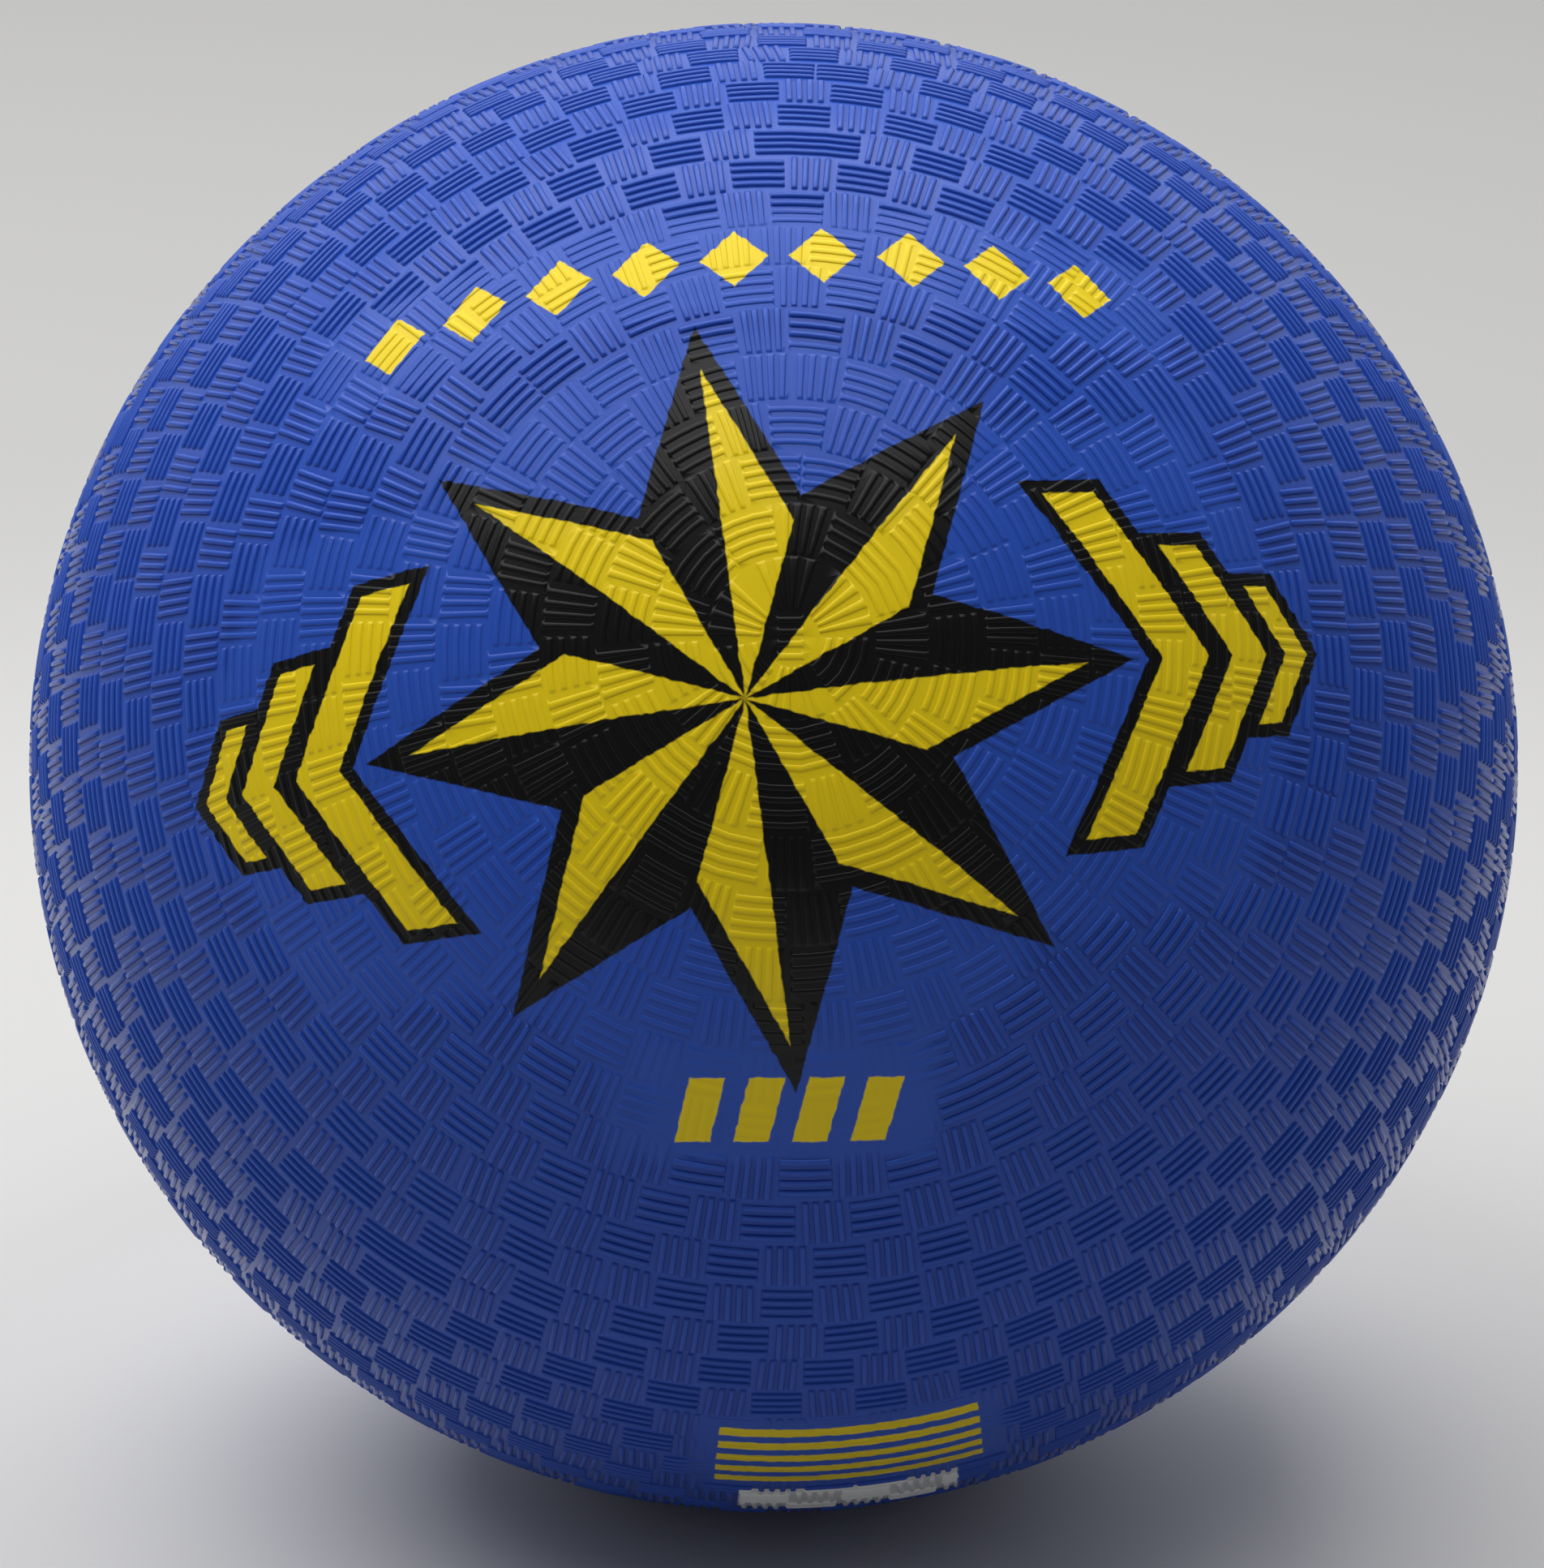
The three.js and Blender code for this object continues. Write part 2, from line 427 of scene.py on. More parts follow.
# %% [markdown]
# ## Growing the cover's skin
# A height map on a plain sphere would need millions of faces to hold ribs a millimetre wide. Instead each
# patch gets its own small grid, with lines only where a rib's side begins and turns, and a flat strip
# joins the grid to the shared borders of its ring. The joining is one general step, which walks round two
# loops of corners and always takes the nearer next one, so rings with different counts still close
# without a gap.


# %% The skin class
class Skin:
    """A mesh in the making: corners as angle, turn, radius and painted shade, and faces as corner numbers.
    """

    def __init__(self):
        self.corners, self.count = [], 0
        self.faces, self.groups = [], []

    def add(self, angle, turn, radius, painted_shade=0.0):
        parts = np.broadcast_arrays(angle, turn, radius, painted_shade)
        numbers = self.count + np.arange(parts[0].size).reshape(parts[0].shape)
        self.corners.append(np.stack([part.ravel() for part in parts], axis=1))
        self.count += parts[0].size
        return numbers

    def grid(self, numbers, group=0, closed=False):
        """Four-sided faces over rows of corners. Rows run away from the pole, columns round it."""
        if closed:
            numbers = np.concatenate([numbers, numbers[:, :1]], axis=1)
        corners = (numbers[:-1, :-1], numbers[1:, :-1], numbers[1:, 1:], numbers[:-1, 1:])
        quads = np.stack(corners, axis=-1).reshape(-1, 4).tolist()
        self.faces += quads
        self.groups += [group] * len(quads)

    def join(self, inner, outer, length, group=0):
        """Triangles between two loops of (place, corner), both clockwise seen from the face's side."""

        def place(loop, step):
            return loop[step % len(loop)][0] + length * (step // len(loop))

        i = j = 0
        while i < len(inner) or j < len(outer):
            here, there = inner[i % len(inner)][1], outer[j % len(outer)][1]
            step_in = j == len(outer) or (i < len(inner) and place(inner, i + 1) < place(outer, j + 1))
            if step_in:
                i += 1
                self.faces.append((here, inner[i % len(inner)][1], there))
            else:
                j += 1
                self.faces.append((outer[j % len(outer)][1], there, here))
            self.groups.append(group)


print("skin class ready")

# %% [markdown]
# ## One patch of four ribs
# A rib is a low bar with steep sides, round shoulders and round ends, a little under a millimetre wide
# and half as high. Seven lines across it and three at each end are enough for smooth shading, with a
# sharp crease at its foot. The lines between the ribs lie on the ground of the pattern, so it stays a
# clean part of the sphere.

# %% Make the grid of one patch
RIBS = 4
RIB_HALF = 0.44
RIB_STRAY = 0.05  # how far a rib's middle strays
LOWEST_RIB, SHORTEST_RIB = 0.86, 0.975  # shares of the full height and length
END_GAP, END_ROUND, END_STEEP = 0.10, 0.42, 0.16  # at a rib's ends: clearance, rounding, steep part
ACROSS_RIB = np.array([-1.0, -0.91, -0.62, 0.0, 0.62, 0.91, 1.0])
SQUARENESS = 2.4  # 2 is a round section, and more has steeper sides
RIB_SECTION = (1 - np.abs(ACROSS_RIB) ** SQUARENESS) ** (1 / SQUARENESS)


def patch_lines(draw, half_long, pitch):
    """Two grids of millimetres across and along the ribs of a patch, and the rib height at each point."""
    middles = (np.arange(RIBS) - (RIBS - 1) / 2) * pitch + draw.uniform(-RIB_STRAY, RIB_STRAY, RIBS)
    across = (middles[:, None] + RIB_HALF * ACROSS_RIB).ravel()
    end = half_long - END_GAP
    ends = np.array([end, end - END_STEEP, end - END_ROUND, half_long / 3])
    along = np.concatenate([-ends, ends[::-1]])
    from_end = np.clip((end - np.abs(along)) / END_ROUND, 0, 1)
    round_end = np.sqrt(1 - (1 - from_end) ** 2)
    tall = np.repeat(draw.uniform(LOWEST_RIB, 1.0, RIBS), len(ACROSS_RIB))
    short = np.repeat(draw.uniform(SHORTEST_RIB, 1.0, RIBS), len(ACROSS_RIB))
    rib = (np.tile(RIB_SECTION, RIBS) * tall)[:, None] * round_end
    return np.repeat(across[:, None], len(along), axis=1), short[:, None] * along, rib


print(f"rib {2 * RIB_HALF} mm wide")

# %% Add one patch to the skin
RIB_HEIGHT = 0.46
GROUND = CREST - RIB_HEIGHT * MM  # radius of the plain ground between the ribs
RING_HEIGHT = CREST / MM * WEAVE
RIB_PITCH_ALONG, RIB_PITCH_ACROSS = 1.64, 1.58
LEAN_ALONG, LEAN_ACROSS = 1.2, 2.0  # spread of a patch's lean, in degrees
TIGHT_SIDES, TIGHT_PITCHES = 1.3, 3.8  # in a narrow patch: what stays free, and the pitches in the rest


def raise_ribs(skin, angle, turn, rib, height_at):
    """Adds a patch's grid of corners, with its ribs as high as the relief leaves them there."""
    stands = height_at(angle, turn)
    # The fourth value is painted shade: full on the ground between the ribs, none on their crests
    return skin.add(angle, turn, GROUND + rib * stands * RIB_HEIGHT * MM, (1 - rib) * stands)


def weave_patch(skin, draw, ring, start, stop, lies_along, outer, height_at):
    """Adds one patch between two turns of a ring, and joins it to the loop of its border corners."""
    middle = ring_angle(ring) + WEAVE / 2
    width = CREST / MM * math.sin(middle) * (stop - start)
    lean = math.tan(math.radians(draw.normal(0, LEAN_ALONG if lies_along else LEAN_ACROSS)))
    if lies_along:
        across, along, rib = patch_lines(draw, width / 2, RIB_PITCH_ALONG)
        share = 0.5 + (across + lean * along) / RING_HEIGHT
        side = 0.5 + along / width
    else:
        pitch = min(RIB_PITCH_ACROSS, (width - TIGHT_SIDES) / TIGHT_PITCHES)
        across, along, rib = (lines.T for lines in patch_lines(draw, RING_HEIGHT / 2, pitch))
        share = 0.5 + along / RING_HEIGHT
        side = 0.5 + (across + lean * along) / width
    angle, turn = ring_angle(ring) + share * WEAVE, start + side * (stop - start)
    numbers = raise_ribs(skin, angle, turn, rib, height_at)
    skin.grid(numbers)
    rows, columns = numbers.shape
    shares, sides = share.mean(axis=1), side.mean(axis=0)
    inner = [(sides[c], numbers[0, c]) for c in range(columns)]
    inner += [(1 + shares[r], numbers[r, -1]) for r in range(1, rows)]
    inner += [(3 - sides[c], numbers[-1, c]) for c in range(columns - 2, -1, -1)]
    inner += [(4 - shares[r], numbers[r, 0]) for r in range(rows - 2, 0, -1)]
    skin.join(inner, outer, 4.0)


print(f"ribs {RIB_HEIGHT} mm high in rings of {RING_HEIGHT:.2f} mm")

# %% [markdown]
# ## Borders between the patches
# Each ring's border is one circle of corners that both neighbouring rings share: it holds the patch edges
# of both, with a few more between them. A short side line of corners stands between two patches of a
# ring. Patches with edges of their own would be simpler, but would leave hairline gaps in the cover.

# %% Make the circles and the side lines
SIDE_SHARES = (0.25, 0.5, 0.75)
BORDER_STEP = 2.6  # greatest distance between two corners of a border
CLOSEST = 1e-6


def border_circle(skin, border, turns):
    """A circle of corners through all the given turns: its turns over two rounds, and their numbers."""
    edges = np.unique(np.round(np.mod(turns, FULL_TURN), 7))
    nexts = np.append(edges[1:], edges[0] + FULL_TURN)
    finest = BORDER_STEP * MM / (CREST * math.sin(ring_angle(border)))
    pieces = np.maximum(np.ceil((nexts - edges) / finest).astype(int), 1)
    spans = zip(edges, nexts, pieces)
    filled = np.concatenate([low + (high - low) * np.arange(n) / n for low, high, n in spans])
    numbers = skin.add(ring_angle(border), filled, GROUND)
    return np.concatenate([filled, filled + FULL_TURN]), np.concatenate([numbers, numbers])


def border_part(circle, start, stop):
    """The corners of a circle from one turn to another, as (share of the way, corner)."""
    turns, numbers = circle
    first, last = np.searchsorted(turns, [start - CLOSEST, stop + CLOSEST])
    return [((turns[i] - start) / (stop - start), numbers[i]) for i in range(first, last)]


def patch_loop(low, high, left, right):
    """The corners round a patch, clockwise from the corner nearest the pole."""
    loop = list(low) + [(1 + share, number) for share, number in right]
    loop += [(3 - share, number) for share, number in reversed(high)]
    return loop + [(4 - share, number) for share, number in reversed(left)]


print("border helpers ready")

# %% [markdown]
# ## The patch at the pole
# The rings start round one last patch at the pole itself, which is a plain square of four short ribs. Its
# grid is drawn on the flat there, and joined to the first circle by their turns round the pole. A fan of
# triangles would also close it, but would leave a bare spot in the middle of the ball's face.

# %% Make the patch at the pole
POLE_HALF = 1.9  # half length of its ribs


def pole_patch(skin, draw, circle, height_at):
    across, along, rib = patch_lines(draw, POLE_HALF, RIB_PITCH_ALONG)
    angle, turn = np.hypot(across, along) * MM / CREST, np.arctan2(across, along)
    numbers = raise_ribs(skin, angle, turn, rib, height_at)
    skin.grid(numbers[::-1])
    edge = np.concatenate([numbers[0, :-1], numbers[:-1, -1], numbers[-1, :0:-1], numbers[:0:-1, 0]])
    edge_turn = np.concatenate([turn[0, :-1], turn[:-1, -1], turn[-1, :0:-1], turn[:0:-1, 0]])
    inner = sorted(zip(np.mod(-edge_turn, FULL_TURN), edge))
    half = len(circle[0]) // 2
    outer = sorted(zip(np.mod(-circle[0][:half], FULL_TURN), circle[1][:half]))
    skin.join(inner, outer, FULL_TURN)


print("pole patch helper ready")

# %% [markdown]
# ## The hole for the valve
# Round the valve the cover is plain, with a low collar, and a hole goes through it. The patches that
# would cross the collar are left out. What is left open is a loop of border corners, which is joined to
# circles round the valve's axis that lead over the collar, down the hole and to the inside of the wall. A
# boolean cut would be quicker to write, but would leave slivers among the ribs.

# %% Go between angles and directions
def half_directions(side):
    """Pole, right and up of one half of the cover: side is 1 for the front and -1 for the rear."""
    return side * POLE, side * RIGHT, UP


def to_direction(side, angle, turn):
    pole, right, up = half_directions(side)
    angle, turn = np.asarray(angle)[..., None], np.asarray(turn)[..., None]
    return np.cos(angle) * pole + np.sin(angle) * (np.cos(turn) * right + np.sin(turn) * up)


def to_angles(side, direction):
    pole, right, up = half_directions(side)
    return np.arccos(np.clip(direction @ pole, -1, 1)), np.arctan2(direction @ up, direction @ right)


print("pole of the front half:", to_direction(1, 0.0, 0.0).round(3))

# %% Helpers for the hole
COVER_WALL = 1.6
INSIDE = CREST - COVER_WALL * MM
VALVE_SIDES = 72
COLLAR = (  # distance from the valve's axis, and height over the ground
    (8.8, 0.0),
    (7.3, 0.0),
    (6.9, 0.12),
    (6.5, 0.26),
    (5.9, 0.30),
    (4.9, 0.30),
    (4.5, 0.24),
    (4.25, 0.08),
    (4.15, -0.2),
    (4.1, -0.7),
)
HOLE_FOOT = 4.05  # radius of the hole at the inside of the wall
VALVE_LAND, INSIDE_LAND = 9.4, 6.0  # how near the axis the weave and the inner wall are left out
VALVE_TOP = np.cross(VALVE_AXIS, RIGHT)


def open_loop(loops):
    """The run of corners round a set of neighbouring faces: the sides that only one of their loops has."""
    sides = {pair for loop in loops for pair in zip(loop, loop[1:] + loop[:1])}
    after = {first: second for first, second in sides if (second, first) not in sides}
    run = [min(after)]
    while after[run[-1]] != run[0]:
        run.append(after[run[-1]])
    return run


def round_valve(skin, side, run, sense):
    """Corners as (turn round the valve's axis, corner), sorted in that sense."""
    corners = np.concatenate(skin.corners)[run]
    direction = to_direction(side, corners[:, 0], corners[:, 1])
    turn = np.arctan2(direction @ VALVE_TOP, direction @ RIGHT)
    return sorted(zip(np.mod(sense * turn, FULL_TURN), run))


print("collar", 2 * COLLAR[3][0], "mm across")

# %% Make the collar and the hole
def valve_collar(skin, side, run):
    """Fills a loop of corners round the valve with the collar and the hole, and returns its inner edge."""
    turn = -FULL_TURN * np.arange(VALVE_SIDES) / VALVE_SIDES
    around = np.cos(turn)[:, None] * RIGHT + np.sin(turn)[:, None] * VALVE_TOP
    rings = [(away, GROUND + height * MM) for away, height in COLLAR] + [(HOLE_FOOT, INSIDE)]
    rows = []
    for away, radius in rings:
        lean = away * MM / CREST
        angle, row_turn = to_angles(side, math.cos(lean) * VALVE_AXIS + math.sin(lean) * around)
        rows.append(skin.add(angle, row_turn, radius))
    rows = np.array(rows)
    skin.grid(rows, closed=True)
    inner = round_valve(skin, side, rows[0].tolist(), -1)
    skin.join(inner, round_valve(skin, side, run, -1), FULL_TURN)
    return rows[-1].tolist()


def near_valve(side, angle, turn, reach):
    """True if any of the points lies within reach millimetres of the valve's axis."""
    return bool((to_direction(side, angle, turn) @ VALVE_AXIS).max() > math.cos(reach * MM / CREST))


print(f"valve {math.degrees(to_angles(-1, VALVE_AXIS)[0]):.0f} degrees from the rear pole")

# %% [markdown]
# ## The ringed outside of one half
# A half is woven ring by ring, from the pole to the parting line. All plans come first, because a border
# circle needs the patch edges of the rings on both of its sides.

# %% Weave the rings of one half
DOUBLE = 0.5  # share of the slips whose two patches run into one long one
PROBES = 5  # points on each side of a patch where its distance from the valve is tested


def merge_slips(draw, turns, along):
    """Joins some neighbouring patches that both lie along the ring into one long patch."""
    keep_turns, keep_along = [turns[0]], []
    for start, lies in zip(turns[:-1], along):
        if keep_along and lies and keep_along[-1] and draw.random() < DOUBLE:
            continue
        if keep_along:
            keep_turns.append(start)
        keep_along.append(lies)
    return np.array(keep_turns + [turns[-1]]), keep_along


def weave_rings(skin, draw, side):
    """Adds the patches of one half. Returns the last circle, and the loops left out at the valve."""
    plans = [merge_slips(draw, *plan) for plan in plan_weave(draw)]
    height_at = relief if side > 0 else (lambda angle, turn: np.ones_like(angle))
    circles = []
    for border in range(RINGS + 1):
        turns = [plan[0][:-1] for plan in plans[max(border - 1, 0) : border + 1]]
        circles.append(border_circle(skin, border, np.concatenate(turns)))
    pole_patch(skin, draw, circles[0], height_at)
    skipped = []
    for ring, (turns, along) in enumerate(plans):
        shares = np.array(SIDE_SHARES)
        lines = [skin.add(ring_angle(ring) + shares * WEAVE, turn, GROUND) for turn in turns[:-1]]
        sides = [list(zip(SIDE_SHARES, line)) for line in lines]
        for i, lies in enumerate(along):
            low = border_part(circles[ring], turns[i], turns[i + 1])
            high = border_part(circles[ring + 1], turns[i], turns[i + 1])
            loop = patch_loop(low, high, sides[i], sides[(i + 1) % len(sides)])
            spots = np.linspace(turns[i], turns[i + 1], PROBES)
            angles = ring_angle(ring) + WEAVE * np.linspace(0, 1, PROBES)[:, None]
            if near_valve(side, *np.broadcast_arrays(angles, spots), VALVE_LAND):
                skipped.append([number for _, number in loop])
            else:
                weave_patch(skin, draw, ring, turns[i], turns[i + 1], lies, loop, height_at)
    return circles[-1], skipped


print("ring weaver ready")

# %% [markdown]
# ## The edge and the inside
# At the parting line the mould leaves a narrow plain band and a fine raised line of flash. From there the
# wall turns in and runs back to the pole on the inside, smooth, so that each half is one closed body as a
# real half of the cover is. A Solidify modifier could give the wall, but would copy every rib to the
# inside. Where the ball's weight rests, the outside and the inside are both pressed flat.

# %% Close one half with its edge and its inside
EDGE_SIDES = 360
# Distance from the parting plane, and height over the ground
EDGE_ROWS = ((1.0, 0.0), (0.42, 0.0), (0.3, 0.07), (0.18, 0.15), (0.02, 0.17))
INSIDE_ANGLES = np.radians(np.append(np.arange(88, 2, -4), 2))  # rows of the inner wall, towards the pole


def close_half(skin, side, circle, skipped):
    """Adds the plain band, the flash line, the rim and the inner wall, and the valve's hole where it is."""
    turn = FULL_TURN * np.arange(EDGE_SIDES) / EDGE_SIDES
    rows = [skin.add(math.pi / 2 - away * MM / CREST, turn, GROUND + high * MM) for away, high in EDGE_ROWS]
    half = len(circle[0]) // 2
    inner = sorted(zip(np.mod(-circle[0][:half], FULL_TURN), circle[1][:half]))
    outer = sorted(zip(np.mod(-turn, FULL_TURN), rows[0]))
    skin.join(inner, outer, FULL_TURN)
    skin.grid(np.array(rows), closed=True)
    rim = skin.add(math.pi / 2 - EDGE_ROWS[-1][0] * MM / CREST, turn, INSIDE)
    skin.grid(np.array([rows[-1], rim]), group=2, closed=True)
    wall = np.array([rim] + [skin.add(angle, turn, INSIDE) for angle in INSIDE_ANGLES])
    before = len(skin.faces)
    skin.grid(wall, group=1, closed=True)
    pole = int(skin.add(0.0, 0.0, INSIDE))
    skin.faces += [(first, pole, second) for first, second in zip(wall[-1], np.roll(wall[-1], -1))]
    skin.groups += [1] * EDGE_SIDES
    if skipped:
        hole = valve_collar(skin, side, open_loop(skipped))
        open_inside(skin, side, before, hole)


def open_inside(skin, side, before, hole):
    """Takes the faces at the valve out of the inner wall, and joins the rest to the edge of the hole."""
    corners = np.concatenate(skin.corners)
    kept, out = [], []
    for face, group in zip(skin.faces[before:], skin.groups[before:]):
        spots = corners[list(face)]
        inside = group == 1 and near_valve(side, spots[:, 0], spots[:, 1], INSIDE_LAND)
        (out if inside else kept).append((face, group))
    skin.faces[before:] = [face for face, _ in kept]
    skin.groups[before:] = [group for _, group in kept]
    run = open_loop([list(reversed(face)) for face, _ in out])
    skin.join(round_valve(skin, side, hole, 1), round_valve(skin, side, run, 1), FULL_TURN, group=1)


print("edge and inside helpers ready")

# %% [markdown]
# ## From corners to a Blender mesh
# The corners become points round the middle of the ball, and whatever would lie under the floor is
# pressed up to it. A map called OFBake lays the outside flat round the pole, which is where the ink is
# drawn. The inside and the rim have small places of their own on it.
# Blender's unwrapping could lay it flat too, but not in millimetres that are known beforehand.

# %% Lay the cover flat
MAP_REACH = 0.485  # how far the parting line lies from the middle of the map
INNER_MAP_AT, INNER_MAP_REACH = 0.935, 0.055  # middle and reach of the inside's own place


def flat_map(angle, turn, group):
    """Places on the map for the corners of each group of faces."""
    reach = np.where(group == 1, INNER_MAP_REACH, MAP_REACH) * angle / (math.pi / 2)
    middle = np.where(group == 1, INNER_MAP_AT, 0.5)
    return np.stack([middle + reach * np.cos(turn), middle + reach * np.sin(turn)], axis=-1)


print(f"map: {math.pi / 2 * CREST / MAP_REACH:.3f} m across")

# %% Build the two halves of the cover
SEED = 27
SHARP = math.radians(48)  # edges that turn by more are shaded sharp
MIDWALL = (INSIDE + GROUND) / 2
RIM_SPREAD = 1.02  # how far past the outside's edge the rim lies on the map


def build_half(name, side):
    skin, draw = Skin(), np.random.default_rng(SEED + side)
    circle, skipped = weave_rings(skin, draw, side)
    close_half(skin, side, circle, skipped)
    angle, turn, radius, painted_shade = np.concatenate(skin.corners).T
    points = CENTRE + radius[:, None] * to_direction(side, angle, turn)
    pressed = np.where(radius > MIDWALL, 0.0, COVER_WALL * MM)
    points[:, 2] = np.maximum(points[:, 2], pressed)
    mesh = bpy.data.meshes.new(name)
    mesh.from_pydata(points.tolist(), [], [tuple(face) for face in skin.faces])
    mesh.polygons.foreach_set("use_smooth", np.ones(len(skin.faces), bool))
    mesh.set_sharp_from_angle(angle=SHARP)
    corner = np.concatenate([np.asarray(face) for face in skin.faces])
    group = np.repeat(np.array(skin.groups), [len(face) for face in skin.faces])
    places = flat_map(angle[corner], turn[corner], group)
    rim = (group == 2) & (radius[corner] < MIDWALL)
    places[rim] = 0.5 + (places[rim] - 0.5) * RIM_SPREAD
    mesh.uv_layers.new(name="OFBake").data.foreach_set("uv", places.astype(np.float32).ravel())
    # The painted shade between the ribs goes to the shader as a point attribute
    mesh.attributes.new("painted_shade", "FLOAT", "POINT").data.foreach_set("value", painted_shade.astype(np.float32))
    piece = bpy.data.objects.new(name, mesh)
    bpy.context.scene.collection.objects.link(piece)
    print(f"{name}: {len(mesh.vertices)} corners, {len(mesh.polygons)} faces")
    return piece


front_cover = build_half("front_cover_shell", 1)
rear_cover = build_half("rear_cover_shell", -1)

# %% [markdown]
# ## The rubber and its ink
# The cover is blue right through. Its rubber has a soft gloss, a fine grain from the mould, and a little
# bloom that makes some places paler, and painted shade darkens the corners between the ribs. The ink is
# a thin, slightly duller film. It is drawn with distances in the print plane: each motif is the places
# where its distance is below zero. Painting an image would be quicker, but a drawn print stays sharp and
# holds no picture.

# %% Distances for the print
SHAKE, SHAKE_SCALE = 0.55, 650.0  # how far the edge of the ink strays, and how finely


def print_plane(wire):
    """Millimetres across and up on the flat front, shaken a little as ink is at the side of a rib."""
    spot = wire.add("UVMap", {"uv_map": "OFBake"})
    split = wire.add("SeparateXYZ", None, {0: spot})
    scale = math.pi / 2 * CREST / MM / MAP_REACH
    solid = wire.add("TexCoord", output="Object")
    sockets = {"Vector": solid, "Scale": SHAKE_SCALE, "Detail": 1.0}
    shake = wire.add("TexNoise", None, sockets, output="Color")
    shaken = wire.add("SeparateXYZ", None, {0: shake})
    across = (split - 0.5) * scale + (shaken - 0.5) * SHAKE
    up = (split.out(1) - 0.5) * scale + (shaken.out(1) - 0.5) * SHAKE
    return across, up


def star_distance(x, y, tip, notch):
    """Distance to the outline of the star."""
    step = math.pi / STAR_POINTS
    fold = y.math("ARCTAN2", x).math("PINGPONG", step)
    reach = (x * x + y * y).math("SQRT")
    run, rise = notch * math.cos(step) - tip, notch * math.sin(step)
    length = math.hypot(run, rise)
    far = reach * fold.math("COSINE") - tip
    return far * (rise / length) - reach * fold.math("SINE") * (run / length)


def facet_distance(x, y):
    """Below zero on one half of each point of the star."""
    turn = y.math("ARCTAN2", x)
    return (turn * STAR_POINTS).math("SINE") * (x * x + y * y).math("SQRT") * (1 / STAR_POINTS)


def box_wire(x, y, half_x, half_y):
    return (abs(x) - half_x) & (abs(y) - half_y)


print("print distances ready")

# %% Draw the thin lines and the block
THIN_LINES, LINE_SHARE = 5, 0.27  # count, and half of the share of their pitch that is ink
BLOCK_ANGLE, BLOCK_HALF = (80.2, 88.2), 8.4  # degrees


def polar_wire(across, up):
    """Degrees from the pole, and degrees of turn from the middle of the thin lines."""
    angle = (across * across + up * up).math("SQRT") * math.degrees(MM / CREST)
    spin = math.radians(LINES_TURN)
    side = across * -math.sin(spin) + up * math.cos(spin)
    ahead = across * math.cos(spin) + up * math.sin(spin)
    return angle, side.math("ARCTAN2", ahead) * math.degrees(1)


def thin_lines(across, up):
    """Distance to the thin plain lines, in degrees."""
    angle, turn = polar_wire(across, up)
    low, high = LINES_ANGLE
    pitch = (high - low) / THIN_LINES
    near = ((angle - low) * (1 / pitch)).math("FLOOR") * pitch + (low + pitch / 2)
    line = abs(angle - near) - pitch * LINE_SHARE
    return line & box_wire(turn, angle - (low + high) / 2, LINES_HALF, (high - low) / 2)


def white_block(across, up):
    """Distance to the plain white block, in degrees."""
    angle, turn = polar_wire(across, up)
    low, high = BLOCK_ANGLE
    return box_wire(turn, angle - (low + high) / 2, BLOCK_HALF, (high - low) / 2)


print(THIN_LINES, "thin lines over a block")

# %% Draw the star and the motifs round it
CHEVRONS = ((58.5, 66.0), (70.0, 76.0), (79.5, 83.5))
CHEVRON_SLOPE, CHEVRON_OUTLINE = 0.6, 1.95
CHEVRON_TIP, CHEVRON_TALL = 96.0, 0.8  # where their heights would shrink to nothing, and how fast
STAR_OUTLINE = 2.6
DIAMONDS, DIAMOND_PITCH, DIAMOND_SLOPES, DIAMOND_HALF = 9, 12.6, (0.72, 0.69), 3.5
BARS, BAR_PITCH, BAR_HALF, BAR_TALL, BAR_LEAN = 4, 8.4, 2.5, 4.8, 0.25


def draw_print(wire):
    """Distances of the yellow, the black and the white ink, and of the thin yellow lines."""
    across, up = print_plane(wire)
    x, y = star_frame(across, up)
    star = star_distance(x, y, STAR_TIP, STAR_NOTCH)
    yellow = star & facet_distance(x, y)
    black = star - STAR_OUTLINE
    arm = abs(x) + abs(y) * CHEVRON_SLOPE
    for low, high in CHEVRONS:
        band = (abs(arm - (low + high) / 2) - (high - low) / 2) * (1 / math.hypot(1, CHEVRON_SLOPE))
        band = band & (abs(y) - (CHEVRON_TIP - high) * CHEVRON_TALL)
        yellow = yellow | band
        black = black | (band - CHEVRON_OUTLINE)
    place = across - ROW_AT[0]
    near = (place * (1 / DIAMOND_PITCH)).math("ROUND") * DIAMOND_PITCH
    sides = abs(place - near) * DIAMOND_SLOPES[0] + abs(row_height(across, up)) * DIAMOND_SLOPES[1]
    yellow = yellow | ((sides - DIAMOND_HALF) & (abs(place) - DIAMONDS / 2 * DIAMOND_PITCH))
    lean = across - BARS_AT[0] - (up - BARS_AT[1]) * BAR_LEAN
    near = (lean * (1 / BAR_PITCH)).math("FLOOR") * BAR_PITCH + BAR_PITCH / 2
    bars = box_wire(lean, up - BARS_AT[1], BARS / 2 * BAR_PITCH, BAR_TALL)
    yellow = yellow | ((abs(lean - near) - BAR_HALF) & bars)
    return yellow, black, white_block(across, up), thin_lines(across, up)


print(len(CHEVRONS), "chevrons on each side,", DIAMONDS, "diamonds")

# %% Make the cover's finish
BLUE = (0.026, 0.090, 0.49, 1)
BLUE_BLOOM = (0.032, 0.102, 0.52, 1)
